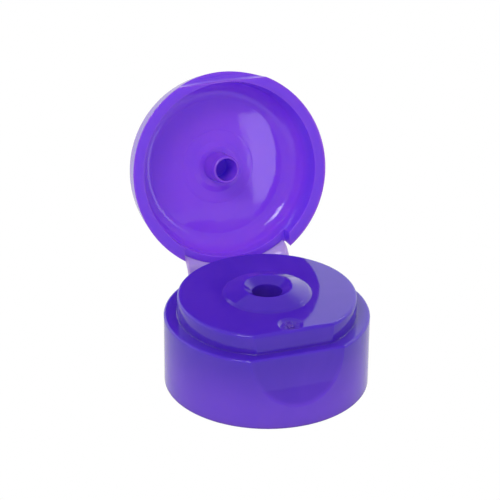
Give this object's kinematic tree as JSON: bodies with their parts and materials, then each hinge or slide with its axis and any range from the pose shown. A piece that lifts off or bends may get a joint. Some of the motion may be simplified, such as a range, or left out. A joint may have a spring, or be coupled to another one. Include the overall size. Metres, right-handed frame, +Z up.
{
  "type": "flip-top dispensing closure",
  "caption": "Round flip-top dispensing closure with a domed lid standing open on a strap hinge, a raised spout, a threaded neck skirt and a thumb recess.",
  "frame": {"origin": "centre of the standing rim of the base, on the closure's axis, in the plane that it stands on", "axes": "+Z up along the closure's axis towards the spout, +Y towards the hinge, -Y towards the thumb recess, +X along the hinge axis"},
  "size_m": [0.038, 0.0534, 0.0502],
  "materials": {
    "body_plastic": "glossy translucent purple polypropylene",
    "strap_plastic": "thin flexed polypropylene film, paler where it bends",
    "lid_plastic": "glossy translucent purple polypropylene"
  },
  "bodies": {
    "base": {"closure_body": "body_plastic", "hinge_strap": "strap_plastic"},
    "lid": {"flip_lid": "lid_plastic"}
  },
  "joints": [
    {"name": "lid_hinge", "type": "hinge", "parent": "base", "child": "lid", "pos_m": [0, 0.0176, 0.01555], "axis": [-1, 0, 0], "range_deg": [-106.8, 25], "deforming": ["hinge_strap"]}
  ]
}
